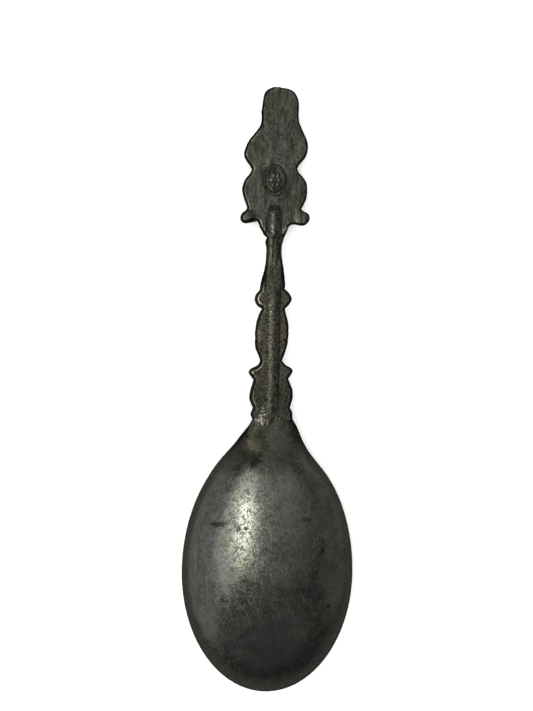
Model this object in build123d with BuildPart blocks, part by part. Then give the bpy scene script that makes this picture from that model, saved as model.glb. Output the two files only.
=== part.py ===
"""Souvenir spoon in cast pewter, lying face down.

A thin egg-shaped bowl, a lobed flat stem with a low rounded rib down its back, and a flat-backed finial
plaque whose socket takes the stem's round tang. Solder holds the three castings together.

Frame: +Y runs from the bowl's tip to the finial's top, +Z is up through the convex back, and the origin
is under the middle of the spoon, on the surface that it lies on. All sizes are in millimetres.
"""
import os
from math import cos, radians, sin, tan

from build123d import *

os.makedirs("parts", exist_ok=True)

# ---- driving dimensions -------------------------------------------------------------------------------
overall_length = 180.0
bowl_half_width = 25.35
bowl_depth = 12.0            # outside, from the rim plane to the back of the bowl
bowl_wall = 1.3
plate_thickness = 2.1        # stem and finial plates
edge_bevel = 0.35            # draft on the back edges of both plates
rib_half_width = 2.0         # low rounded rib down the back of the stem
rib_height = 1.2
rib_root = 1.0               # how deep the rib is fused into the plate
tongue_length = 4.2          # of the rib, over the bowl's heel
tang_radius = 1.2
socket_gap = 0.05            # all round the tang in its socket
boss_radius = 1.9            # rounded boss that holds the socket
boss_length = 7.0
socket_depth = 6.5
tang_end_gap = 0.5           # between the tang's end and the bottom of its socket
tang_height = 1.95           # tang's axis above the front face
rim_rise = radians(3.7)      # slope of the rim plane, up from the tip to the heel
finial_fall = radians(4.8)   # slope of the finial, down from the seam to its top

# ---- stations along the spoon -------------------------------------------------------------------------
tip_y = -overall_length / 2
heel_y = -8.6                # bowl meets stem
rib_end_y = 31.0
tang_start_y = 37.5          # the tang's round back rises out of the plate here
seam_y = 45.1                # stem meets finial
finial_length = (overall_length / 2 - seam_y - plate_thickness * sin(finial_fall)) / cos(finial_fall)

# The stem's front face is one long arc that leaves the bowl along its rim plane and arrives along the
# finial, so its radius follows from the two slopes.
arch_radius = (seam_y - heel_y) / (sin(rim_rise) + sin(finial_fall))
heel_z = (heel_y - tip_y) * tan(rim_rise)
arch_centre_y = heel_y + arch_radius * sin(rim_rise)
arch_centre_z = heel_z - arch_radius * cos(rim_rise)
seam_z = arch_centre_z + arch_radius * cos(finial_fall)

# Rim plane: its own Y runs up the bowl. Finial plane: the plaque's front face, its own Y up the plaque.
# Seam plane: square across the tang where stem and finial meet, centred on the tang's axis.
rim_plane = Plane(origin=(0, tip_y, 0), x_dir=(1, 0, 0), z_dir=(0, -sin(rim_rise), cos(rim_rise)))
finial_plane = Plane(origin=(0, seam_y, seam_z), x_dir=(1, 0, 0), z_dir=(0, sin(finial_fall), cos(finial_fall)))
seam_plane = Plane(
    origin=finial_plane.from_local_coords((0, 0, tang_height)), x_dir=(1, 0, 0), z_dir=finial_plane.y_dir
)
cutter_reach = 20.0          # wider and taller than any plate


def above_arch(height, y):
    """Point (0, Y, Z) at a height above the stem's front arc."""
    radius = arch_radius + height
    return (0, y, arch_centre_z + (radius**2 - (y - arch_centre_y) ** 2) ** 0.5)


def flat_egg(half_width, tip_reach, heel_reach, depth, shoulder=()):
    """A flattened egg: a side curve turned round the long axis, then pressed to its depth each side.

    The side is a quarter ellipse from the tip to the widest point and another to the heel. A shoulder,
    given as two points, cuts the second short and runs on from it as one concave arc.
    """
    heel_turn = shoulder_turn if shoulder else 90
    with BuildPart() as form:
        with BuildSketch():
            with BuildLine():
                middle = (0, widest_reach)
                toe = EllipticalCenterArc(middle, half_width, tip_reach, start_angle=-90, arc_size=90)
                heel = EllipticalCenterArc(middle, half_width, heel_reach, start_angle=0, arc_size=heel_turn)
                end_reach = widest_reach + heel_reach
                if shoulder:
                    end_reach = shoulder[-1][1]
                    ThreePointArc(heel @ 1, *shoulder)
                    Line(shoulder[-1], (0, end_reach))
                Line((0, end_reach), toe @ 0)
            make_face()
        revolve(axis=Axis.Y)
        scale(by=(1, 1, depth / half_width))
    return form.part


# ---- bowl ---------------------------------------------------------------------------------------------
# Outside and hollow are both flattened eggs, cut in half along the rim plane. The outside ends in concave
# shoulders that lead to the stem, and the hollow closes before them.
widest_reach = 36.0          # from the tip to the widest point, up the rim plane
heel_reach = 40.0
shoulder_turn = 58.2         # degrees of the heel's ellipse before the shoulder takes over
bowl_form = flat_egg(bowl_half_width, widest_reach, heel_reach, bowl_depth, [(9.1, 76.0), (5.5, 82.5)])
hollow_form = flat_egg(
    bowl_half_width - bowl_wall, widest_reach - bowl_wall, heel_reach - bowl_wall, bowl_depth - bowl_wall
)

with BuildPart() as bowl:
    with Locations(rim_plane.location):
        add(bowl_form)
        add(hollow_form, mode=Mode.SUBTRACT)
    split(bisect_by=rim_plane)
    split(bisect_by=Plane(origin=(0, heel_y, 0), x_dir=(1, 0, 0), z_dir=(0, -1, 0)))

# ---- stem ---------------------------------------------------------------------------------------------
def rib_profile():
    """Section of the rib: a low arc over a square root, by which it is fused into the plate."""
    ThreePointArc((-rib_half_width, 0), (0, rib_height), (rib_half_width, 0))
    left_root, right_root = (-rib_half_width, -rib_root), (rib_half_width, -rib_root)
    Polyline((rib_half_width, 0), right_root, left_root, (-rib_half_width, 0))


with BuildPart() as stem:
    # Lobed outline, one side mirrored: foot bead, lower lobe, pointed wing, long oval, knob, flare, neck.
    with BuildSketch():
        with BuildLine():
            Line((0, heel_y), (5.7, heel_y))
            ThreePointArc((5.7, heel_y), (6.2, -7.0), (5.4, -5.1))
            ThreePointArc((5.4, -5.1), (6.4, -1.3), (5.2, 3.0))
            ThreePointArc((5.2, 3.0), (6.1, 4.1), (6.4, 5.4))
            ThreePointArc((6.4, 5.4), (4.5, 7.4), (3.3, 9.1))
            ThreePointArc((3.3, 9.1), (4.94, 16.5), (3.5, 24.2))
            ThreePointArc((3.5, 24.2), (5.5, 27.0), (3.9, 29.6))
            ThreePointArc((3.9, 29.6), (2.85, 36.0), (2.35, 41.0))
            ThreePointArc((2.35, 41.0), (2.45, 43.2), (3.0, seam_y + 1))
            Line((3.0, seam_y + 1), (0, seam_y + 1))
            mirror(about=Plane.YZ)
        make_face()
    extrude(amount=cutter_reach)
    # Side view: the arched plate between its front and back arcs.
    with BuildSketch(Plane.YZ):
        with BuildLine():
            ends = (heel_y - 5, arch_centre_y, seam_y + 5)
            front = ThreePointArc(*[above_arch(0, y)[1:] for y in ends])
            back = ThreePointArc(*[above_arch(plate_thickness, y)[1:] for y in ends])
            Line(front @ 0, back @ 0)
            Line(front @ 1, back @ 1)
        make_face()
    extrude(amount=cutter_reach, both=True, mode=Mode.INTERSECT)
    chamfer(stem.faces().sort_by(Axis.Z)[-1].edges(), edge_bevel)
    split(bisect_by=seam_plane, keep=Keep.BOTTOM)
    # Rib: a low round-topped bar rooted in the back face, straight over the bowl's heel as a short tongue,
    # then arched with the plate to a round nose.
    tongue_at = (heel_y - tongue_length - tip_y) / cos(rim_rise)
    rib_start = rim_plane.from_local_coords((0, tongue_at, plate_thickness))
    with BuildLine() as rib_path:
        tongue = Line(rib_start, above_arch(plate_thickness, heel_y))
        stations = (heel_y, (heel_y + rib_end_y) / 2, rib_end_y)
        arch = ThreePointArc(*[above_arch(plate_thickness, y) for y in stations])
    with BuildSketch(Plane(origin=rib_start, x_dir=(-1, 0, 0), z_dir=tongue % 0)):
        with BuildLine():
            rib_profile()
        make_face()
    sweep(path=rib_path.line)
    nose_plane = Plane(origin=arch @ 1, x_dir=(-1, 0, 0), z_dir=arch % 1)
    with BuildSketch(nose_plane):
        with BuildLine():
            rib_profile()
        make_face()
        split(bisect_by=Plane.YZ)
    revolve(axis=Axis(nose_plane.origin, nose_plane.y_dir))
    add(bowl.part, mode=Mode.SUBTRACT)
    # Tang: a round pin along the finial's socket, its nose rising out of the neck.
    tang_reach = seam_y - tang_start_y
    with BuildSketch(seam_plane.offset(-tang_reach)):
        Circle(tang_radius)
    extrude(amount=tang_reach + socket_depth - tang_end_gap)
    with Locations(seam_plane.offset(-tang_reach).origin):
        Sphere(tang_radius)

# ---- finial -------------------------------------------------------------------------------------------
with BuildPart() as finial:
    # Outline from the seam up each side: skirt, volute and lower lobe alike on both sides, then the
    # upper lobes and a head block that stands a little to the right.
    with BuildSketch(finial_plane):
        with BuildLine():
            Line((-3.0, 0), (3.0, 0))
            for side in (-1, 1):
                Spline((3.0 * side, 0), (3.6 * side, 2.0), (5.1 * side, 4.1))
                Spline((5.1 * side, 4.1), (8.2 * side, 3.8), (10.35 * side, 5.9), (9.3 * side, 7.6),
                       (7.9 * side, 8.5))
                ThreePointArc((7.9 * side, 8.5), (9.64 * side, 13.9), (6.7 * side, 20.5))
            left_side = Spline((-6.7, 20.5), (-9.2, 23.8), (-8.9, 27.0), (-6.5, 31.1), (-4.6, 34.5),
                               (-4.4, 39.0), (-3.5, 43.0), (-1.7, finial_length))
            right_side = Spline((6.7, 20.5), (8.9, 24.2), (9.4, 27.0), (8.3, 31.2), (6.8, 35.0),
                                (6.6, 40.3), (5.3, 43.3), (2.4, finial_length))
            Line(left_side @ 1, right_side @ 1)
        make_face()
    extrude(amount=plate_thickness)
    back_axis = Axis(finial_plane.origin, finial_plane.z_dir)
    chamfer(finial.faces().sort_by(back_axis)[-1].edges(), edge_bevel)
    # Boss: a round bar with a domed end, bored for the tang.
    with BuildSketch(seam_plane):
        Circle(boss_radius)
    extrude(amount=boss_length)
    with Locations(seam_plane.offset(boss_length).origin):
        Sphere(boss_radius)
    with BuildSketch(seam_plane):
        Circle(tang_radius + socket_gap)
    extrude(amount=socket_depth, mode=Mode.SUBTRACT)
    # Plain relief on the front: two oval panels, a round boss on each volute, and a head boss whose far
    # edge just reaches the surface that the spoon lies on.
    panel_height = 0.5
    head_boss_length = 6.8
    head_boss_inset = 1.6    # from the finial's top
    with BuildSketch(finial_plane):
        with Locations((0, 14.0)):
            Ellipse(6.4, 5.2)
        with Locations((0, 26.4)):
            Ellipse(5.6, 4.8)
        with Locations((-8.2, 6.0), (8.2, 6.0)):
            Circle(1.3)
    extrude(amount=-panel_height)
    head_boss_end = finial_length - head_boss_inset
    head_boss_height = seam_z / cos(finial_fall) - head_boss_end * tan(finial_fall)
    with BuildSketch(finial_plane):
        with Locations((1.0, head_boss_end - head_boss_length / 2)):
            Ellipse(3.8, head_boss_length / 2)
    extrude(amount=-head_boss_height)

# ---- solder -------------------------------------------------------------------------------------------
# A ring round the tang in the corner at the socket's mouth.
ring_radius = 0.45
ring_overlap = 0.3           # how far the ring is sunk into the tang
ring_below_seam = 0.3
with BuildPart() as neck_solder:
    with Locations(seam_plane.offset(-ring_below_seam).location):
        Torus(tang_radius + ring_radius - ring_overlap, ring_radius)
    add(stem.part, mode=Mode.SUBTRACT)
    add(finial.part, mode=Mode.SUBTRACT)

# A bead each side of the rib, in the corner between the bowl's heel and the stem's back face.
bead_radius = 0.8
bead_length = 8.4
with BuildPart() as bowl_solder:
    with Locations(Plane(origin=above_arch(plate_thickness, heel_y), z_dir=(1, 0, 0)).location):
        Cylinder(bead_radius, bead_length)
    add(stem.part, mode=Mode.SUBTRACT)
    add(bowl.part, mode=Mode.SUBTRACT)

# ---- labels and files ---------------------------------------------------------------------------------
bowl.part.label = "bowl"
stem.part.label = "stem"
finial.part.label = "finial"
neck_solder.part.label = "neck_solder"
bowl_solder.part.label = "bowl_solder"

export_step(bowl.part, "parts/bowl.step")
export_step(stem.part, "parts/stem.step")
export_step(finial.part, "parts/finial.step")
export_step(neck_solder.part, "parts/neck_solder.step")
export_step(bowl_solder.part, "parts/bowl_solder.step")
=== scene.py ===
"""Looks of a cast pewter souvenir spoon that lies face down on a pale table.

The bowl, the lobed stem and the flat-backed finial are numpy surfaces over their CAD nodes, joined by
rough beads of solder. Shapes are worked out in millimetres and written to the meshes in metres.
"""

import bpy
import numpy as np
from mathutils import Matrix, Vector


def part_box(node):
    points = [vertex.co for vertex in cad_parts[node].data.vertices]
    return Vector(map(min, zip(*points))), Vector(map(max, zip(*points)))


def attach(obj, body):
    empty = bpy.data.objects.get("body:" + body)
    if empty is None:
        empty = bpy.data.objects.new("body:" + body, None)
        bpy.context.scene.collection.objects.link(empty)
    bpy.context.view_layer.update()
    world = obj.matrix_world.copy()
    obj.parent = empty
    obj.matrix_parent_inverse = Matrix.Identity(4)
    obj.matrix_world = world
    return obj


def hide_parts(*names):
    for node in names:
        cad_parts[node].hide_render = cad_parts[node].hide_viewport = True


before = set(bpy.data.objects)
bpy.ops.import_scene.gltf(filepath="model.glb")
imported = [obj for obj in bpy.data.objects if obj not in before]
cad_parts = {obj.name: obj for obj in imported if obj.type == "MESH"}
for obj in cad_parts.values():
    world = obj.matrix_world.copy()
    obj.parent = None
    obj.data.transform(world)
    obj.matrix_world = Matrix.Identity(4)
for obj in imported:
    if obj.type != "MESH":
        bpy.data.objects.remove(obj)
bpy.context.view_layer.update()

# ---- Bowl ---------------------------------------------------------------------------------------------
# A thin egg-shaped pewter casting, about 1.3 mm thick, lying on its rim with its back up. It was cast in
# a two-part mould, and its heel is soldered against the end of the stem.
bowl_low, bowl_high = (np.array(corner) * 1000 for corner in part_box("bowl"))
tip_y, heel_y, bowl_half_width = bowl_low[1], bowl_high[1], bowl_high[0]
bowl_depth = 12.0
bowl_wall = 1.3
rim_edge_height = 0.3
rim_rise = np.radians(3.7)
# Distances up the rim plane from the tip, and the reach of the quarter ellipse above the widest point
widest_at = 36.0
heel_reach = 40.0
shoulder_at = 62.0
flattens_at = 64.0
squares_at = 72.0
heel_at = (heel_y - tip_y) / np.cos(rim_rise)
heel_flattening = 0.125
# The stem's rib, which runs on over the heel by its tail and sinks away over the length of its fade
plate_thickness = 2.1
rib_x = 0.15
rib_half_width = 2.0
rib_height = 0.9
rib_lean = 0.06
rib_spread = 0.4
rib_blend = 0.5
rib_tail = 1.0
rib_fade = 9.0


def natural_curve(points, count):
    """Smooth curve through a few points, evenly spaced along its chords.

    Each coordinate is a cubic between points whose second derivative runs on from piece to piece and is
    zero at both ends, found by solving one small linear system.
    """
    points = np.array(points, float)
    step = np.linalg.norm(np.diff(points, axis=0), axis=1)
    knots = np.concatenate([[0.0], np.cumsum(step)])
    slope = np.diff(points, axis=0) / step[:, None]
    inner = np.arange(1, len(points) - 1)
    system, right = np.eye(len(points)), np.zeros_like(points)
    system[inner, inner - 1] = step[:-1]
    system[inner, inner] = 2 * (step[:-1] + step[1:])
    system[inner, inner + 1] = step[1:]
    right[inner] = 6 * np.diff(slope, axis=0)
    bend = np.linalg.solve(system, right)
    at = np.linspace(0, knots[-1], count)
    piece = np.clip(np.searchsorted(knots, at, side="right") - 1, 0, len(step) - 1)
    span = step[piece][:, None]
    before = (knots[piece + 1] - at)[:, None] / span
    after = 1 - before
    cubic = (before**3 - before) * bend[piece] + (after**3 - after) * bend[piece + 1]
    return before * points[piece] + after * points[piece + 1] + cubic * span**2 / 6


def smooth_step(value, low, high):
    """0 below low, 1 above high, and a cubic ease between."""
    t = np.clip((value - low) / (high - low), 0, 1)
    return t * t * (3 - 2 * t)


def waviness(x, y, seed, longest=26.0):
    """Slow unevenness of a hand-finished casting: a sum of nine sine waves in seeded directions."""
    dice = np.random.default_rng(seed)
    total = np.zeros_like(x)
    for octave in (1.0, 0.62, 0.4):
        for turn in dice.uniform(0, 2 * np.pi, 3):
            wave = 2 * np.pi / (longest * octave)
            phase = dice.uniform(0, 2 * np.pi)
            total += octave * np.sin(wave * (x * np.cos(turn) + y * np.sin(turn)) + phase)
    return total / 4


def put_mesh(name, shells, node, wear_and_painted_light=None):
    """Closed skins over rows of points, each row a loop: quads between rows and a fan over each end.

    wear_and_painted_light holds one value for each point of the first shell, from -1 for dirt and painted
    shade to 1 for bright worn metal and painted highlights.
    """
    points, faces, sizes, start = [], [], [], 0
    for rows in shells:
        count, around = rows.shape[:2]
        index = start + np.arange(count * around).reshape(count, around)
        beside = np.roll(index, -1, axis=1)
        quads = np.stack([index[:-1], beside[:-1], beside[1:], index[1:]], -1).reshape(-1, 4)
        first = np.stack([beside[0], index[0], np.full(around, start + count * around)], -1)
        last = np.stack([index[-1], beside[-1], np.full(around, start + count * around + 1)], -1)
        shell = np.concatenate([rows.reshape(-1, 3), rows[:1].mean(1), rows[-1:].mean(1)])
        a, b, c = (shell[quads[:, corner] - start] for corner in (0, 1, 2))
        order = -1 if np.einsum("ij,ij->", a, np.cross(b, c)) < 0 else 1
        points.append(shell)
        faces += [quads[:, ::order].ravel(), first[:, ::order].ravel(), last[:, ::order].ravel()]
        sizes += [np.full(len(quads), 4), np.full(2 * around, 3)]
        start += len(shell)
    points, faces, sizes = np.concatenate(points), np.concatenate(faces), np.concatenate(sizes)
    mesh = bpy.data.meshes.new(name)
    mesh.vertices.add(len(points))
    mesh.vertices.foreach_set("co", (points / 1000).ravel())
    mesh.loops.add(len(faces))
    mesh.loops.foreach_set("vertex_index", faces)
    mesh.polygons.add(len(sizes))
    mesh.polygons.foreach_set("loop_start", np.concatenate([[0], np.cumsum(sizes)[:-1]]))
    mesh.polygons.foreach_set("use_smooth", sizes == 4)
    if wear_and_painted_light is not None:
        values = np.zeros(len(points), np.float32)
        values[: wear_and_painted_light.size] = np.clip(wear_and_painted_light, -1, 1).ravel()
        mesh.attributes.new("wear_and_painted_light", "FLOAT", "POINT").data.foreach_set("value", values)
    mesh.update(calc_edges=True)
    mesh.validate()
    piece = bpy.data.objects.new(name, mesh)
    bpy.context.scene.collection.objects.link(piece)
    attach(piece, "root")
    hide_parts(node)
    return piece


# Half widths up the rim plane: a quarter ellipse to the widest point, another to where the shoulder
# starts, then a concave shoulder that is fuller on the right than on the left.
egg_at = np.concatenate([
    widest_at * (1 - np.cos(np.linspace(0, np.pi / 2, 240, endpoint=False))),
    np.linspace(widest_at, shoulder_at, 120),
])
egg_reach = np.where(egg_at < widest_at, widest_at, heel_reach)
egg_width = bowl_half_width * np.sqrt(1 - ((egg_at - widest_at) / egg_reach) ** 2)
shoulders = {
    1: [(shoulder_at, egg_width[-1]), (66.1, 16.6), (70.1, 13.3), (74.2, 10.4), (77.2, 8.95), (80.2, 7.6),
        (heel_at, 6.7)],
    -1: [(shoulder_at, egg_width[-1]), (66.1, 16.9), (70.1, 14.0), (74.2, 10.5), (78.2, 7.5), (80.2, 6.0),
         (heel_at, 5.35)],
}
outline_at, outline_width = {}, {}
for side, points in shoulders.items():
    shoulder = natural_curve(points, 200)[1:]
    outline_at[side] = np.concatenate([egg_at, shoulder[:, 0]])
    outline_width[side] = np.concatenate([egg_width, shoulder[:, 1]])


def bowl_width(x, at):
    """Half width of the bowl at a distance up the rim plane, on the side that x is on, and the mean."""
    right = np.interp(at, outline_at[1], outline_width[1])
    left = np.interp(at, outline_at[-1], outline_width[-1])
    return np.where(x > 0, right, left), (right + left) / 2


def rounded_ridge(reach, height):
    """Height of a low ridge over the plate, where reach is 0 on its crest and 1 at its foot.

    It is height times (1 - reach squared) to the power 0.8, and drops away outside.
    """
    return height * np.clip(1 - reach**2, 0, 1) ** 0.8 - 4 * np.clip(reach - 1, 0, None)


def leaning(across, lean):
    """A place across a ridge, from -1 to 1, moved so that the crest lies to the left by about lean."""
    return across + lean * np.clip(1 - across**2, 0, 1)


def blend_up(low, high, fillet):
    """The higher of two heights, eased where they come closer than the fillet."""
    return np.maximum(low, high) + fillet / 4 * np.clip(1 - abs(low - high) / fillet, 0, 1) ** 2


def bowl_back(x, at):
    """Height of the bowl's back above the rim plane.

    Each cross-section is half an ellipse, as deep for its width as the widest one. Towards the heel it
    grows flatter and squarer until it meets the stem's plate, and the rib's tail sinks into it there.
    Slow waves of 0.05 mm make it less than perfect.
    """
    half, mean = bowl_width(x, at)
    flattening = heel_flattening * smooth_step(at, flattens_at, heel_at)
    depth = mean * (bowl_depth / bowl_half_width - flattening)
    power = 2 + 5 * smooth_step(at, squares_at, heel_at)
    egg = depth * np.sqrt(np.clip(1 - abs(x / half) ** power, 0, 1))
    egg += 0.05 * waviness(x, at, 3) * np.clip(egg / 4, 0, 1)
    sunk = np.clip(heel_at - at + rib_fade - rib_tail, 0, None) / rib_fade
    across = (x - rib_x + rib_spread) / (rib_half_width + rib_spread)
    rib = rounded_ridge(np.hypot(leaning(across, rib_lean), sunk), rib_height)
    return np.hypot(blend_up(egg, egg + rib, rib_blend), rim_edge_height)


def on_rim_plane(x, at, height):
    """Points over the rim plane, which rises from the tip to the heel."""
    y = tip_y + at * np.cos(rim_rise)
    return np.stack([x, y, at * np.sin(rim_rise) + height], -1)


# The outline loop runs down the right side, round the tip, up the left side and across the heel. The
# back and the hollow are rings that shrink from it to one point, and a rounded rim joins them.
side_points, heel_points, back_rings, hollow_rings, rim_rings = 230, 62, 96, 40, 9
sides = []
for side in (1, -1):
    path = np.stack([side * outline_width[side], outline_at[side]], -1)
    run = np.concatenate([[0], np.cumsum(np.linalg.norm(np.diff(path, axis=0), axis=1))])
    even = np.linspace(0, run[-1], side_points)
    sides.append(np.stack([np.interp(even, run, path[:, k]) for k in (0, 1)], -1))
heel_line = np.linspace(sides[1][-1], sides[0][-1], heel_points)[1:-1]
loop = np.concatenate([sides[0][::-1], sides[1][1:], heel_line])
middle = np.array([0.0, widest_at])
bearing = np.arctan2(loop[:, 1] - widest_at, loop[:, 0])
hollow_half = bowl_half_width - bowl_wall
hollow_reach = np.where(np.sin(bearing) > 0, heel_reach, widest_at) - bowl_wall
hollow_radius = 1 / np.hypot(np.cos(bearing) / hollow_half, np.sin(bearing) / hollow_reach)
hollow_loop = middle + hollow_radius[:, None] * np.stack([np.cos(bearing), np.sin(bearing)], -1)
back = middle + np.sin(np.linspace(np.pi / 2, 0.02, back_rings))[:, None, None] * (loop - middle)
shrink = np.sin(np.linspace(np.pi / 2, 0.02, hollow_rings))[:, None, None]
hollow = middle + shrink * (hollow_loop - middle)
hollow_depth = np.hypot((bowl_depth - bowl_wall) * np.sqrt(1 - shrink[..., 0] ** 2), rim_edge_height)
across = np.linspace(0, 1, rim_rings)[:, None, None]
rim = loop + across * (hollow_loop - loop)
rim_edge = np.minimum(across, 1 - across)[..., 0] * np.linalg.norm(hollow_loop - loop, axis=1)
rim_rounding, rim_drop = 0.5, 0.28
rim_height = rim_drop * (1 - np.clip(rim_edge / rim_rounding, 0, 1)) ** 2
back_x, back_at = back[::-1, :, 0], back[::-1, :, 1]
hollow_x, hollow_at = hollow[1:, :, 0], hollow[1:, :, 1]
bowl_rows = np.concatenate([
    on_rim_plane(back_x, back_at, bowl_back(back_x, back_at)),
    on_rim_plane(rim[..., 0], rim[..., 1], rim_height),
    on_rim_plane(hollow_x, hollow_at, np.broadcast_to(hollow_depth[1:], hollow_x.shape)),
])
bowl = put_mesh("bowl_shell", [bowl_rows], "bowl")


class Signal:
    """A value or colour in a material's node tree. Arithmetic on signals adds Math nodes."""

    def __init__(self, tree, socket):
        self.tree = tree
        self.socket = socket

    def node(self, kind, settings=None, sockets=None, output=0):
        """Adds a node: its settings first, then its sockets' values or links. Returns one output."""
        made = self.tree.nodes.new(kind)
        for name, value in (settings or {}).items():
            setattr(made, name, value)
        for name, value in (sockets or {}).items():
            if isinstance(value, Signal):
                self.tree.links.new(value.socket, made.inputs[name])
            else:
                made.inputs[name].default_value = value
        return Signal(self.tree, made.outputs[output])

    def maths(self, operation, first, second=0.0):
        return self.node("ShaderNodeMath", {"operation": operation}, {0: first, 1: second})

    def at_least(self, other):
        return self.maths("MAXIMUM", self, other)

    def __add__(self, other):
        return self.maths("ADD", self, other)

    def __sub__(self, other):
        return self.maths("SUBTRACT", self, other)

    def __rsub__(self, other):
        return self.maths("SUBTRACT", other, self)

    def __mul__(self, other):
        return self.maths("MULTIPLY", self, other)

    __radd__ = __add__
    __rmul__ = __mul__

    def ease(self, low, high):
        """0 to 1 as this value goes from low to high, eased at both ends."""
        span = {"Value": self, "From Min": low, "From Max": high}
        return self.node("ShaderNodeMapRange", {"interpolation_type": "SMOOTHSTEP"}, span)

    def noise(self, size, detail=3.0, roughness=0.55):
        """Clouds of one size, in this vector's unit, from 0 to 1 about 0.5."""
        scale = {"Vector": self, "Scale": 1 / size, "Detail": detail, "Roughness": roughness}
        return self.node("ShaderNodeTexNoise", {"normalize": True}, scale)

    def stretched(self, x, y, z, turn=0.0):
        """This place turned about Z, then stretched by a factor along each axis."""
        about_z = {"rotation_type": "Z_AXIS"}
        turned = self.node("ShaderNodeVectorRotate", about_z, {"Vector": self, "Angle": turn})
        return self.node("ShaderNodeVectorMath", {"operation": "DIVIDE"}, {0: turned, 1: (x, y, z)})

    def grains(self, size):
        """Random grey cells of one size, in this vector's unit, from 0 to 1 about 0.5."""
        return self.node("ShaderNodeTexVoronoi", None, {"Vector": self, "Scale": 1 / size}, "Color")

    def spot(self, x, y, reach_x, reach_y, ragged=0.5, soft=0.6, turn=0.0):
        """1 inside an oval spot on the spoon and 0 outside, with an edge made ragged by noise."""
        moved = self.node("ShaderNodeVectorMath", {"operation": "SUBTRACT"}, {0: self, 1: (x, y, 0)})
        oval = moved.stretched(reach_x, reach_y, 1e6, turn)
        far = self.node("ShaderNodeVectorMath", {"operation": "LENGTH"}, {0: oval}, "Value")
        edge = far + (self.noise(min(reach_x, reach_y) * 0.8, 4.0) - 0.5) * (2 * ragged)
        return 1 - edge.ease(1 - soft, 1 + soft)

    def scaled(self, factor):
        """This colour or place multiplied by a factor."""
        return self.node("ShaderNodeVectorMath", {"operation": "SCALE"}, {0: self, "Scale": factor})

    def tint(self, colour, amount):
        """This colour mixed towards another by an amount from 0 to 1."""
        mixed = self.tree.nodes.new("ShaderNodeMix")
        mixed.data_type = "RGBA"
        for name, value in (("Factor", amount), ("A", self), ("B", colour)):
            socket = next(s for s in mixed.inputs if s.name == name and s.enabled)
            if isinstance(value, Signal):
                self.tree.links.new(value.socket, socket)
            else:
                socket.default_value = value
        return Signal(self.tree, next(s for s in mixed.outputs if s.enabled))


def pewter(piece, base, warm, roughness, grain=1.0, lay=1.3):
    """Aged cast pewter: a dull grey skin, clouded and mottled, with warm tarnish and fine dark grain.

    The mottle is drawn out along the spoon by the factor lay. Returns the place in millimetres, the
    colour, the roughness and the relief height in millimetres, to which each piece adds its own marks
    before finish_metal joins them up.
    """
    material = bpy.data.materials.new(piece.name + "_pewter")
    material.use_nodes = True
    material.node_tree.nodes.clear()
    piece.data.materials.append(material)
    place = Signal(material.node_tree, None).node("ShaderNodeTexCoord", output="Object").scaled(1000.0)
    clouds = place.noise(11.0, 3.0, 0.6)
    tarnish = place.stretched(1.0, 1.6, 1.0, 0.3).noise(6.0, 4.0, 0.65)
    mottle = place.stretched(1.0, lay, 1.0).noise(2.4, 4.0, 0.65)
    fine = place.noise(0.7, 3.0, 0.7)
    grit = place.stretched(1.0, 1 + 0.25 * lay, 1.0).grains(0.38)
    shade = 1 + (clouds - 0.5) * 0.5 + (mottle - 0.5) * 1.1
    colour = place.node("ShaderNodeRGB")
    colour.socket.default_value = (*base, 1)
    colour = colour.tint((*warm, 1), tarnish.ease(0.42, 0.66) * 0.8).scaled(shade)
    colour = colour.scaled(1 + (fine - 0.5) * (1.6 * grain) + (grit - 0.5) * (1.2 * grain))
    roughness = roughness + (mottle - 0.5) * 0.25 + (grit - 0.5) * 0.15
    relief = (fine - 0.5) * (0.035 * grain) + (mottle - 0.5) * 0.035
    return place, colour, roughness, relief


def finish_metal(place, colour, roughness, relief, metallic=0.96):
    """Joins the worked colour, roughness and relief to one metal shader."""
    bump = {"Strength": 1.0, "Distance": 0.001, "Height": relief}
    normal = place.node("ShaderNodeBump", None, bump, "Normal")
    look = {"Base Color": colour, "Roughness": roughness, "Metallic": metallic, "Normal": normal}
    shader = place.node("ShaderNodeBsdfPrincipled", None, look, "BSDF")
    output = place.tree.nodes.new("ShaderNodeOutputMaterial")
    place.tree.links.new(shader.socket, output.inputs["Surface"])


# The bowl's back is smoother and brighter than the stem, with fine dark flecks on its crown. It is warm
# and dull at the heel, and carries an olive stain below the stem, a dark streak, a cluster of pits, small
# spots, a brown lower right edge and light scratches. A broad painted shade darkens the tip end, and a
# painted highlight lies along the heel's left shoulder. The skirt, the steep band next to the rim, is a
# warm olive grey and less metallic there: partly the edge's own tarnish, partly a painted reflection of
# the pale table.
place, colour, roughness, relief = pewter(bowl, (0.305, 0.321, 0.293), (0.285, 0.282, 0.23), 0.24, 0.45)
along = place.node("ShaderNodeSeparateXYZ", None, {"Vector": place}, "Y")
above_table = place.node("ShaderNodeSeparateXYZ", None, {"Vector": place}, "Z")
above_rim = above_table - (along - tip_y) * np.tan(rim_rise)
heel = along.ease(-25.0, -11.0)
crown = place.spot(-6.0, -39.0, 9.0, 19.0, 0.3, 0.5)
skirt_table_reflection = (1 - above_rim.ease(3.0, 7.0)) * (1 - heel)
grit = place.grains(0.45)
flecks = (place.noise(1.3, 4.0, 0.8) + grit * 0.5 - 0.25).ease(0.48, 0.64)
stain = place.spot(-5.9, -16.4, 5.2, 4.2, 1.0, 0.4).at_least(place.spot(-4.2, -20.0, 2.2, 2.2, 1.0, 0.4))
stain = stain * place.noise(1.3, 5.0, 0.75).ease(0.36, 0.52)

colour = colour.scaled(1 + (grit - 0.5) * (heel * 1.7 + crown * 0.5)).scaled(1 - heel * 0.65)
colour = colour.tint((0.115, 0.11, 0.078, 1), heel * 0.4)
colour = colour.scaled(1 - crown * flecks * 0.6)
colour = colour.tint((0.033, 0.031, 0.01, 1), stain * 0.82)
roughness = roughness + crown * flecks * 0.12 + heel * 0.12
relief = relief * (0.4 + above_rim.ease(3.0, 10.0) * 0.6 + heel * 1.4)

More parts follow.
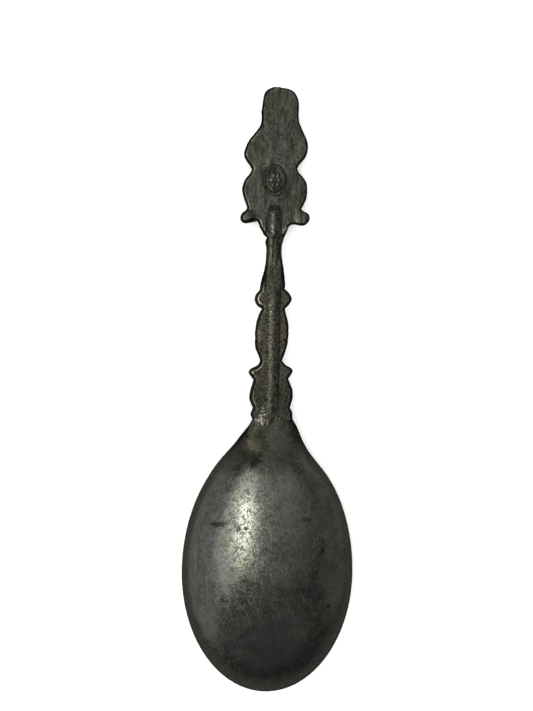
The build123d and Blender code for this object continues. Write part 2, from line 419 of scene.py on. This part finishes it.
streak, deep_pit, pit = (0.05, 0.042, 0.03, 1), (0.01, 0.008, 0.005, 1), (0.04, 0.04, 0.035, 1)
for x, y, reach_x, reach_y, tone, amount in (
    (-14.6, -39.2, 2.4, 0.7, streak, 0.75),
    (-13.2, -38.7, 1.6, 0.45, streak, 0.6),
    (-8.4, -40.3, 0.8, 0.6, deep_pit, 0.75),
    (-6.4, -40.0, 0.8, 0.5, deep_pit, 0.75),
    (-7.3, -41.3, 1.0, 0.5, deep_pit, 0.75),
    (16.0, -46.1, 0.5, 0.9, pit, 0.8),
    (16.1, -43.4, 0.4, 0.5, pit, 0.8),
    (11.2, -37.2, 1.5, 0.6, (0.08, 0.08, 0.07, 1), 0.6),
    (-13.1, -61.3, 0.8, 0.6, (0.05, 0.05, 0.042, 1), 0.6),
    (18.1, -62.6, 0.6, 0.5, pit, 0.8),
    (20.5, -71.8, 0.35, 0.7, (0.80, 0.72, 0.55, 1), 0.8),
    # painted shade: a broad cool darkening over the tip end, where the back slopes away from the lights
    (3.0, -77.0, 12.0, 8.0, (0.16, 0.16, 0.17, 1), 0.6),
    (23.5, -66.0, 2.5, 12.0, (0.27, 0.20, 0.16, 1), 0.5),
):
    colour = colour.tint(tone, place.spot(x, y, reach_x, reach_y, 1.1, 0.4) * amount)
# Light scratches, and in the first entry a painted highlight along the left edge of the heel's shoulder
for x, y, half_width, half_length, turn in (
    # painted highlight along the heel's left shoulder
    (-5.4, -10.2, 0.3, 2.3, 0.37),
    (-6.2, -23.5, 0.15, 1.6, 0.35),
    (-4.9, -24.6, 0.12, 1.3, -0.25),
    (0.9, -43.0, 0.12, 3.0, -0.12),
    (-17.5, -58.0, 0.12, 4.0, -0.08),
    (-21.0, -50.0, 0.12, 5.0, 0.0),
    (8.5, -27.0, 0.12, 3.0, -0.6),
    (-10.5, -31.0, 0.12, 2.4, 0.5),
):
    scratch_and_highlight = place.spot(x, y, half_width, half_length, 0.5, 0.5, turn)
    colour = colour.tint((0.62, 0.61, 0.55, 1), scratch_and_highlight * 0.6)
# Painted reflection of the pale table on the skirt, with the edge's olive tarnish: a warm grey, less metal
colour = colour.tint((0.22, 0.205, 0.165, 1), skirt_table_reflection * 0.8)
finish_metal(place, colour, roughness, relief, 0.965 - skirt_table_reflection * 0.075)

# ---- Stem ---------------------------------------------------------------------------------------------
# A flat lobed bar, cast with a low rounded rib down its back and a round tang at its top. The rib runs on
# over the bowl's heel as a short tongue. The front carries a thin raised border.
seam_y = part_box("finial")[0][1] * 1000
finial_fall = np.radians(4.8)
arch_radius = (seam_y - heel_y) / (np.sin(rim_rise) + np.sin(finial_fall))
arch_centre_y = heel_y + arch_radius * np.sin(rim_rise)
arch_centre_z = (heel_y - tip_y) * np.tan(rim_rise) - arch_radius * np.cos(rim_rise)
row_step = 0.16
edge_drop = 1.45
far_from_edge = 9.0
rows_searched = 30
rib_end_y = 31.0
tang_x = -0.1
tang_half_width = 1.6
tang_height = 0.85

stem_runs = [
    # foot bead
    ([(6.7, heel_y), (6.5, -7.4), (6.45, -6.4), (5.7, -5.0)], [(5.35, heel_y), (5.83, -7.0), (5.22, -5.3)]),
    # lower lobe
    ([(5.7, -5.0), (6.3, -2.9), (6.54, -1.0), (6.1, 1.0), (5.0, 3.5)],
     [(5.22, -5.3), (6.0, -3.6), (6.38, -1.9), (6.0, 0.2), (5.25, 3.0)]),
    # pointed wing
    ([(5.0, 3.5), (5.85, 4.7), (6.28, 5.7), (5.9, 6.6), (4.4, 7.45), (3.12, 8.9)],
     [(5.25, 3.0), (6.1, 4.1), (6.68, 5.2), (6.3, 6.1), (4.9, 6.9), (3.7, 7.9), (3.42, 8.8)]),
    # long oval
    ([(3.12, 8.9), (3.7, 10.5), (4.45, 13.0), (4.86, 17.0), (4.6, 20.4), (4.0, 22.5), (3.62, 24.0)],
     [(3.42, 8.8), (3.9, 10.2), (4.6, 11.6), (5.03, 14.6), (5.0, 17.5), (4.6, 20.4), (3.95, 22.5),
      (3.2, 24.0)]),
    # knob
    ([(3.62, 24.0), (4.5, 25.0), (5.3, 26.0), (5.6, 27.0), (5.2, 28.1), (4.4, 29.15), (3.45, 29.9)],
     [(3.2, 24.0), (4.6, 24.9), (5.25, 26.0), (5.35, 27.2), (4.9, 28.3), (3.95, 29.5)]),
    # flare and neck, with a nick on the left at the seam
    ([(3.45, 29.9), (3.57, 31.0), (3.4, 33.0), (3.0, 36.0), (2.5, 39.0), (2.3, 41.5), (2.5, 43.3),
      (2.95, seam_y)],
     [(3.95, 29.5), (3.85, 30.5), (3.5, 32.5), (2.9, 34.7), (2.4, 37.5), (2.24, 40.2), (2.45, 43.0),
      (2.62, 43.8), (2.35, 44.5), (2.15, seam_y)]),
]


def bump_at(value, middle, reach):
    """A smooth bump: 1 where the value is at the middle, falling as a bell curve of that reach."""
    return np.exp(-(((value - middle) / reach) ** 2))


def plate_rows(runs):
    """Right and left outline points and the centre line's Y for each row, corners kept between runs."""
    right, left, centre = [], [], []
    for right_points, left_points in runs:
        one = natural_curve(right_points, 400)
        count = int(np.ceil(np.linalg.norm(np.diff(one, axis=0), axis=1).sum() / row_step)) + 2
        one, other = natural_curve(right_points, count), natural_curve(left_points, count)
        for outline, seed in ((one, 21), (other, 22)):
            ends = np.sin(np.linspace(0, np.pi, count)) ** 0.5
            outline[:, 0] += 0.06 * ends * waviness(outline[:, 0], outline[:, 1], seed, 2.6)
        mean = (one[:, 1] + other[:, 1]) / 2
        if np.any(np.diff(mean) <= 0):
            mean = np.linspace(mean[0], mean[-1], count)
        last = slice(None, -1) if right_points is not runs[-1][0] else slice(None)
        right.append(one[last])
        left.append(other[last] * (-1, 1))
        centre.append(mean[last])
    return np.concatenate(right), np.concatenate(left), np.concatenate(centre)


def edge_width(x, y):
    """Width of a plate's drafted side as seen from above: wider on the left, and less on the finial."""
    return (0.78 - 0.14 * np.tanh(x / 2)) * (1 - 0.25 * smooth_step(y, seam_y - 1, seam_y + 3))


def edge_wear_and_highlight(x, y, distance):
    """How bright the back is painted along the top corner of its drafted edge: a painted highlight in
    patches, mostly on the lit left side, with some bright worn metal.

    It is least on the narrow neck, brightest in painted highlight arcs where the lobes stand out, and
    dimmer where the long oval begins.
    """
    # painted highlight along the corner, mostly on the left side, which faces the light
    corner = bump_at(distance / edge_width(x, y), 1.17, 0.2) * (1 - 0.8 * smooth_step(x, -1.0, 1.5))
    neck = smooth_step(y, 30.5, 33.0) * smooth_step(y, 44.5, 43.0)
    patches = np.clip(0.5 + 0.9 * waviness(x, y, 5, 9.0), 0.12, 1)
    # painted highlight arcs on the lobes that stand out
    highlight_arcs = sum(bump_at(y, knock_y, 1.3) for knock_y in (5.2, 27.0, 54.4, 58.0, 69.5))
    highlight_arcs -= 0.8 * bump_at(y, 9.2, 1.5)
    return corner * (patches * (1 - 0.8 * neck) + 0.8 * highlight_arcs)


def plate_skin(runs, shares, back_height, front_height, lift):
    """Rows of loops round a lobed plate: across its back, down a side, across its front and up again.

    shares places the points of a row between its left edge, -1, and its right edge, 1. The heights are
    functions of x, y and the distance to the outline, and lift gives the front face's Z at y. Also
    returns how worn each point is, with the painted highlight along the lit corner of its edge.
    """
    right, left, centre = plate_rows(runs)
    share = shares[None, :]
    edge = np.where(share[..., None] > 0, right[:, None], left[:, None])
    x = abs(share) * edge[..., 0]
    y = centre[:, None] + abs(share) * (edge[..., 1] - centre[:, None])
    distance = np.full(x.shape, far_from_edge)
    for outline in (right, left):
        for offset in range(-rows_searched, rows_searched + 1):
            near = outline[np.clip(np.arange(len(outline)) + offset, 0, len(outline) - 1)]
            distance = np.minimum(distance, np.hypot(x - near[:, :1], y - near[:, 1:]))
    top = np.stack([x, y, lift(y) + back_height(x, y, distance)], -1)
    under = np.stack([x, y, lift(y) - front_height(x, y, distance)], -1)[:, ::-1]
    mix = np.array([0.33, 0.67])[:, None]
    right_wall = top[:, -1:] + mix * (under[:, :1] - top[:, -1:])
    left_wall = under[:, -1:] + mix * (top[:, :1] - under[:, -1:])
    rows = np.concatenate([top, right_wall, under, left_wall], axis=1)
    wear_and_painted_light = np.zeros(rows.shape[:2])
    wear_and_painted_light[:, : x.shape[1]] = edge_wear_and_highlight(x, y, distance)
    return rows, wear_and_painted_light


def arch_lift(y):
    """Z of the stem's front face, one long arc."""
    return arch_centre_z + np.sqrt(arch_radius**2 - (y - arch_centre_y) ** 2)


def drafted_edge(distance, x, y):
    """Drop of a plate's face towards its edge: a steep side, eased in on top."""
    inward = 1 - distance / edge_width(x, y)
    return edge_drop * np.where(inward > 0.25, inward, np.clip(inward + 0.25, 0, None) ** 2)


def stem_back(x, y, distance):
    """Back of the stem: a plate with a rounded edge, the rib as far as the flare, then the tang's back.

    The rib spreads a little at the foot. The tang shows in the neck as two fine ridges with a groove
    between them.
    """
    plate = plate_thickness - drafted_edge(distance, x, y) + 0.03 * waviness(x, y, 8, 7.0)
    foot = rib_spread * (1 - smooth_step(y, -8.0, -3.0))
    sunk = np.clip(heel_y - y + rib_fade - rib_tail, 0, None) / rib_fade
    into_flare = smooth_step(y, rib_end_y - 4.0, rib_end_y + 4.0)
    rib_reach = np.hypot(leaning((x - rib_x + foot) / (rib_half_width + foot), rib_lean), sunk)
    rib_bar = rounded_ridge(rib_reach, rib_height * (1 - into_flare)) - 0.5 * into_flare
    out_of_neck = smooth_step(y, 35.0, 41.0)
    tang_bar = rounded_ridge(abs(x - tang_x) / tang_half_width, tang_height * out_of_neck)
    tang_bar -= 0.4 * (1 - out_of_neck) + 0.42 * bump_at(x, -0.05, 0.26) * out_of_neck
    with_rib = blend_up(plate, plate_thickness + rib_bar, rib_blend)
    return blend_up(with_rib, plate_thickness + tang_bar, 0.35)


def stem_front(x, y, distance):
    """Front of the stem: a rounded edge, a raised border bead and a low rib down the middle."""
    border = 0.3 * bump_at(distance, 0.95, 0.35)
    spine = 0.35 * bump_at(x, 0.0, 0.9) * smooth_step(distance, 1.2, 2.2)
    return border + spine - 0.25 * drafted_edge(distance, x, y)


def spread_shares(count, crowding):
    """Places across a plate from -1 to 1, closer together towards its edges as crowding nears 1."""
    widest = crowding * np.pi / 2
    return np.sin(np.linspace(-1, 1, count) * widest) / np.sin(widest)


def apply_wear_and_painted_light(place, colour, roughness):
    """Colour and roughness where the mesh's wear_and_painted_light attribute darkens dirt and painted shade
    and brightens rubbed metal and painted highlights.
    """
    wear_and_painted_light = place.node("ShaderNodeAttribute", {"attribute_name": "wear_and_painted_light"}, None, "Fac")
    return colour.scaled(1 + wear_and_painted_light * 0.75 + (wear_and_painted_light - 0.3).at_least(0.0) * 2.8), roughness - wear_and_painted_light * 0.18


stem_rows, stem_wear_and_painted_light = plate_skin(stem_runs, spread_shares(111, 0.8), stem_back, stem_front, arch_lift)
stem_x, stem_y = stem_rows[..., 0], stem_rows[..., 1]
beside_rib = (stem_x - rib_x) / rib_half_width
along_rib = 1 - smooth_step(stem_y, rib_end_y - 5, rib_end_y + 2)
# Dirt lies on the flats, most of all near the foot, and a painted highlight lies on the tang's left ridge
on_flat = smooth_step(abs(beside_rib), 0.9, 1.1) * (1 - stem_wear_and_painted_light)
stem_wear_and_painted_light -= on_flat * (0.4 + 0.2 * smooth_step(-stem_y, -9.0, 0.0))
stem_wear_and_painted_light += 0.5 * bump_at(stem_x, -1.0, 0.3) * smooth_step(stem_y, 37, 41)
# The flare is darker, and painted shade fills the crease to the right of the rib, on its unlit side
stem_wear_and_painted_light -= 0.5 * bump_at(stem_y, 33.5, 3.5) * (1 - stem_wear_and_painted_light)
stem_wear_and_painted_light -= 0.5 * bump_at(beside_rib, 1.0, 0.12) * along_rib
# Painted glints lie in specks on the rib's lit left side, with five brighter painted highlights
painted_glints = 0.9 * waviness(stem_x, stem_y, 41, 0.9) - 0.2
stem_wear_and_painted_light += bump_at(beside_rib, -0.5, 0.4) * along_rib * painted_glints
for x, y, reach in (
    (-1.1, 24.9, 0.4),
    (-2.0, 24.7, 0.35),
    (-0.85, 22.8, 0.45),
    (-3.2, 30.5, 0.35),
    (-1.4, 8.4, 0.35),
):
    stem_wear_and_painted_light += 0.6 * bump_at(stem_x, x, reach) * bump_at(stem_y, y, reach * 1.7)
stem = put_mesh("stem_bar", [stem_rows], "stem", stem_wear_and_painted_light)
place, colour, roughness, relief = pewter(stem, (0.188, 0.184, 0.15), (0.178, 0.165, 0.11), 0.48, 1.35)
colour, roughness = apply_wear_and_painted_light(place, colour, roughness)
finish_metal(place, colour, roughness, relief)

# ---- Finial -------------------------------------------------------------------------------------------
# A cast plaque in lobes and volutes with a head block, flat on the back but for the domed boss that
# sockets the stem's tang, and a pressed oval touch with a plain rosette.
top_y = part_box("finial")[1][1] * 1000
seam_z = arch_lift(seam_y)
touch_x, touch_y = 0.08, 62.2
touch_half_width, touch_half_length = 3.4, 4.55
boss_x = -0.2
boss_half_width = 2.2
boss_height = 1.35
boss_lean = -0.08
boss_nose_y = 50.4
boss_nose = 4.0
boss_squareness = 2.4

finial_runs = [
    # skirt
    ([(2.95, seam_y), (3.35, 46.0), (3.95, 47.5), (4.4, 48.5), (5.2, 49.1)],
     [(2.15, seam_y), (3.0, 45.8), (3.6, 46.9), (4.3, 48.2), (4.9, 49.6), (5.6, 50.2)]),
    # volute
    ([(5.2, 49.1), (6.4, 49.05), (8.2, 48.8), (9.8, 49.6), (10.42, 51.3), (9.85, 52.45), (8.6, 53.1),
      (7.85, 53.7)],
     [(5.6, 50.2), (7.0, 49.7), (8.6, 49.15), (9.8, 49.8), (10.12, 51.0), (9.6, 52.2), (8.7, 52.95),
      (8.15, 53.7)]),
    # lower lobe
    ([(7.85, 53.7), (8.7, 55.3), (9.35, 57.2), (9.55, 59.3), (9.2, 61.6), (8.1, 63.4), (7.0, 64.6),
      (6.45, 65.8)],
     [(8.15, 53.7), (8.75, 55.5), (9.4, 57.2), (9.73, 59.2), (9.4, 61.2), (8.4, 63.0), (7.45, 64.2),
      (7.02, 65.3)]),
    # upper lobe and head block
    ([(6.45, 65.8), (7.0, 67.0), (8.4, 68.6), (9.3, 70.6), (9.53, 72.3), (9.0, 74.7), (7.6, 77.8),
      (6.75, 80.0), (6.56, 83.0), (6.58, 85.2), (6.1, 87.2), (5.0, 88.9), (3.3, 89.75), (1.5, top_y)],
     [(7.02, 65.3), (7.7, 66.5), (8.8, 68.0), (9.4, 69.9), (9.0, 71.8), (8.0, 74.0), (6.6, 75.9),
      (5.1, 77.9), (4.5, 79.5), (4.52, 82.0), (4.25, 85.0), (3.95, 87.3), (3.2, 89.0), (1.7, top_y)]),
]


def finial_lift(y):
    """Z of the finial's front face, which falls away from the seam to the top."""
    return seam_z - (y - seam_y) * np.tan(finial_fall)


def touch_relief(x, y):
    """Pressed oval mark: a milled ring, a thin inner ring and a six-petalled rosette round a dot."""
    across, along = (x - touch_x) / touch_half_width, (y - touch_y) / touch_half_length
    out = np.hypot(across, along)
    turn = np.arctan2(along, across)
    milled = 0.2 * bump_at(out, 0.93, 0.06) * np.cos(38 * turn)
    grooves = -0.13 * bump_at(out, 1.03, 0.035) - 0.16 * bump_at(out, 0.8, 0.05)
    ring = 0.18 * bump_at(out, 0.7, 0.04)
    petal = 0.58 * np.sqrt(abs(np.cos(3 * turn)))
    rosette = 0.32 * (1 - smooth_step(out / np.maximum(petal, 0.05), 0.7, 1.05))
    rosette *= smooth_step(out, 0.12, 0.24)
    dot = 0.3 * (1 - smooth_step(out, 0.07, 0.14))
    field = -0.08 * (1 - smooth_step(out, 0.64, 0.7))
    return milled + grooves + ring + rosette + dot + field


def finial_back(x, y, distance):
    """Back of the finial: a plate with a rounded edge, the domed boss over the socket, and the touch."""
    plate = plate_thickness - drafted_edge(distance, x, y) + 0.035 * waviness(x, y, 12, 11.0)
    volute = np.hypot((abs(x) - 8.0) / 2.3, (y - 51.0) / 2.1)
    plate += 0.22 * (1 - volute**2) * (volute < 1)
    nose = np.clip(y - boss_nose_y, 0, None) / boss_nose
    across = leaning((x - boss_x) / boss_half_width, boss_lean * np.clip(1 - nose, 0, 1))
    reach = (abs(across) ** boss_squareness + nose**boss_squareness) ** (1 / boss_squareness)
    turned = 0.07 * np.sin(y * 9.5 + 2.0 * waviness(x, y, 44, 5.0)) * np.clip(1 - reach, 0, 1)
    boss = plate_thickness + rounded_ridge(reach, boss_height) + turned
    return blend_up(plate, boss, 0.8) + touch_relief(x, y)


def finial_front(x, y, distance):
    """Front of the finial: a raised border, two fluted oval panels and bosses on the volutes and head.

    The head boss reaches down to the table, which is where the spoon's top end rests.
    """
    height = 0.35 * bump_at(distance, 0.95, 0.35) - 0.25 * drafted_edge(distance, x, y)
    for middle_y, half_x, half_y, flutes in ((59.1, 6.4, 5.2, 9), (71.4, 5.6, 4.8, 7)):
        across, along = x / half_x, (y - middle_y) / half_y
        out = np.hypot(across, along)
        fan = 0.7 + 0.3 * np.cos(flutes * 2 * np.arctan2(across, along + 1.25))
        height = np.maximum(height, 0.55 * (1 - smooth_step(out, 0.8, 1.0)) * fan)
    volute = np.hypot(abs(x) - 8.2, y - 51.1) / 1.5
    height = np.maximum(height, 0.5 * np.sqrt(np.clip(1 - volute**2, 0, 1)))
    head = np.hypot((x - 1.0) / 3.8, (y - 85.0) / 3.5)
    return np.maximum(height, 0.97 * finial_lift(y) * (1 - smooth_step(head, 0.7, 1.0)))


finial_rows, finial_wear_and_painted_light = plate_skin(
    finial_runs, spread_shares(129, 0.72), finial_back, finial_front, finial_lift
)
finial_x, finial_y = finial_rows[..., 0], finial_rows[..., 1]
# Dirt lies in the touch's hollows, and the boss is rubbed along the marks of its turning
finial_wear_and_painted_light += np.clip(touch_relief(finial_x, finial_y) / 0.2, -0.6, 0.42)
on_boss = smooth_step(abs(finial_x + 0.15), 2.2, 1.4) * smooth_step(finial_y, 54.0, 52.0)
finial_wear_and_painted_light += on_boss * (0.4 + 0.5 * waviness(finial_x * 0.35, finial_y, 45, 0.8))
finial = put_mesh("finial_plaque", [finial_rows], "finial", finial_wear_and_painted_light)
place, colour, roughness, relief = pewter(
    finial, (0.135, 0.136, 0.117), (0.128, 0.124, 0.092), 0.38, 0.85, 2.4
)
streaks = place.stretched(1.0, 6.0, 1.0, 0.05).noise(1.3, 3.0, 0.6)
dull_patch = place.spot(5.5, 58.0, 5.5, 5.5, 0.4, 0.6)
colour = colour.scaled(1 + (streaks - 0.5) * 2.2).scaled(1 - dull_patch * 0.25)
colour, roughness = apply_wear_and_painted_light(place, colour, roughness)
finish_metal(place, colour, roughness, relief)

# ---- Solder -------------------------------------------------------------------------------------------
# Two hand-run joints of soft solder: a thin bead where the tang enters the boss, with a splash beside it,
# and lumps that run down the rib's foot onto the bowl's heel. It is rougher and brighter than the casting.


def bead(path, widths, thickness, seed):
    """Rows of a lumpy bead along a path: ovals that lie flat on the metal and taper at both ends."""
    ovals, around = 70, 28
    spine = natural_curve(path, ovals)
    tangent = np.gradient(spine, axis=0)
    tangent /= np.linalg.norm(tangent, axis=1)[:, None]
    beside = np.cross(tangent, (0, 0, 1))
    beside /= np.linalg.norm(beside, axis=1)[:, None]
    above = np.cross(beside, tangent)
    turn = np.linspace(0, 2 * np.pi, around, endpoint=False)[None, :]
    taper = np.sqrt(np.sin(np.linspace(0.02, np.pi - 0.02, ovals)))[:, None]
    width = np.interp(np.linspace(0, 1, ovals), np.linspace(0, 1, len(widths)), widths)[:, None]
    length = np.linalg.norm(np.diff(spine, axis=0), axis=1).sum()
    along = np.linspace(0, length, ovals)[:, None]
    lump = 1 + 0.35 * waviness(along + 0 * turn, 1.2 * width * turn, seed, 1.1)
    out, up = width * taper * lump * np.cos(turn), thickness * taper * lump * np.sin(turn)
    return spine[:, None] + out[..., None] * beside[:, None] + up[..., None] * above[:, None]


def on_back(spots):
    """Path over the spoon's back through spots of x, y and the height above the metal there."""
    x, y, above = np.array(spots, float).T
    at = (y - tip_y) / np.cos(rim_rise)
    on_bowl = at * np.sin(rim_rise) + bowl_back(x, at)
    on_stem = arch_lift(y) + stem_back(x, y, far_from_edge)
    on_finial = finial_lift(y) + finial_back(x, y, far_from_edge)
    z = np.where(y < heel_y, on_bowl, np.where(y < seam_y, on_stem, on_finial)) + above
    return np.stack([x, y, z], -1)


joints = {
    "neck_solder": [
        # across the mouth of the boss, and a splash to its right
        bead(on_back([(-1.5, 45.7, 0.0), (-0.8, 45.8, 0.12), (-0.1, 45.8, 0.12), (0.6, 45.75, 0.0)]),
             [0.28, 0.35, 0.35, 0.25], 0.3, 31),
        bead(on_back([(2.45, 46.3, 0.0), (3.0, 47.5, 0.1), (3.4, 48.8, 0.0)]),
             [0.45, 0.75, 0.5], 0.5, 32),
    ],
    "bowl_solder": [
        # down the rib's foot, and out from it to the left and right
        bead(on_back([(-1.7, -3.6, -0.1), (-2.0, -5.5, -0.05), (-2.2, -8.0, -0.05), (-2.1, -10.8, -0.15)]),
             [0.5, 1.0, 1.7, 1.0], 0.45, 33),
        bead(on_back([(-4.9, -8.8, -0.2), (-3.8, -8.7, -0.05), (-2.6, -8.8, -0.05)]),
             [0.5, 0.7, 0.7], 0.3, 34),
        bead(on_back([(1.9, -7.6, -0.2), (3.2, -8.4, -0.22), (4.6, -8.7, -0.25)]),
             [0.5, 0.8, 0.5], 0.22, 35),
    ],
}
for node, shells in joints.items():
    solder = put_mesh(node + "_beads", shells, node)
    place, colour, roughness, relief = pewter(solder, (0.42, 0.41, 0.36), (0.34, 0.32, 0.26), 0.34, 2.0)
    facets = place.grains(0.5)
    relief = relief + place.noise(0.8, 3.0, 0.6) * 0.3 + facets * 0.08
    finish_metal(place, colour.scaled(0.5 + facets * 1.4), roughness, relief)

# ---- Table, lights and camera -------------------------------------------------------------------------
# The spoon lies on a plain pale table that glows a little, under a soft studio light from the upper left.
# The camera looks straight down on it.
bpy.ops.mesh.primitive_plane_add(size=6.0)
table = bpy.context.object
table.name = "table"
table_material = bpy.data.materials.new("pale_table")
table_material.use_nodes = True
table_inputs = table_material.node_tree.nodes["Principled BSDF"].inputs
table_inputs["Base Color"].default_value = (0.86, 0.86, 0.85, 1)
table_inputs["Roughness"].default_value = 0.9
table_inputs["Emission Color"].default_value = (1, 1, 1, 1)
table_inputs["Emission Strength"].default_value = 0.2
table.data.materials.append(table_material)
table.visible_glossy = False

world = bpy.data.worlds.new("studio")
world.use_nodes = True
world_inputs = world.node_tree.nodes["Background"].inputs
world_inputs["Color"].default_value = (1, 1, 1, 1)
world_inputs["Strength"].default_value = 1.35
world.cycles_visibility.glossy = False
bpy.context.scene.world = world


def soft_light(name, direction, distance, width, height, radiance, colour):
    """A flat soft box that faces the spoon, given by the radiance of its surface.

    Its width runs towards the zenith as seen from the spoon, and its height runs round the horizon.
    """
    light = bpy.data.lights.new(name, "AREA")
    light.shape = "ELLIPSE"
    light.size, light.size_y = width, height
    light.energy = radiance * np.pi * (width * height * np.pi / 4)
    light.color = colour
    lamp = bpy.data.objects.new(name, light)
    bpy.context.scene.collection.objects.link(lamp)
    away = np.array(direction, float) / np.linalg.norm(direction)
    lamp.location = away * distance
    lamp.rotation_mode = "QUATERNION"
    lamp.rotation_quaternion = lamp.location.to_track_quat("Z", "X")


camera_data = bpy.data.cameras.new("camera")
camera = bpy.data.objects.new("camera", camera_data)
bpy.context.scene.collection.objects.link(camera)
bpy.context.scene.camera = camera
# The view is as long as view_length, measured at a typical height of the spoon
camera_height = 0.45
spoon_height = 0.003
view_length = 0.211
sensor = 36.0
camera_data.sensor_width = sensor
camera_data.lens = sensor * (camera_height - spoon_height) / view_length
camera.location = (-0.001507, 0.01024, camera_height)
camera.rotation_euler = (0, 0, np.radians(1.2))

soft_light("key", (-0.295, -0.01, 0.96), 1.0, 0.145, 0.43, 7.6, (1.0, 0.95, 0.83))
soft_light("halo", (-0.43, 0.12, 0.92), 1.3, 0.62, 1.5, 0.88, (0.98, 1.0, 0.95))
soft_light("overhead", (0.0, 0.26, 1.0), 1.6, 1.2, 1.5, 0.12, (1.0, 1.0, 0.95))
soft_light("ceiling", (0.08, 0.22, 1.0), 1.6, 2.3, 2.3, 0.115, (0.97, 1.0, 0.97))
soft_light("window", (-1.0, -0.1, 0.45), 1.5, 1.7, 2.6, 0.23, (0.94, 0.98, 0.98))
soft_light("right", (1.0, 0.1, 0.4), 1.5, 1.5, 2.2, 0.075, (1.0, 1.0, 0.92))
soft_light("front", (0.0, -1.0, 1.0), 1.5, 0.9, 1.8, 0.055, (1.0, 1.0, 0.95))
soft_light("back", (0.2, 1.0, 0.3), 1.5, 0.7, 2.4, 0.2, (1.0, 1.0, 0.95))
bpy.context.scene.view_settings.view_transform = "Standard"
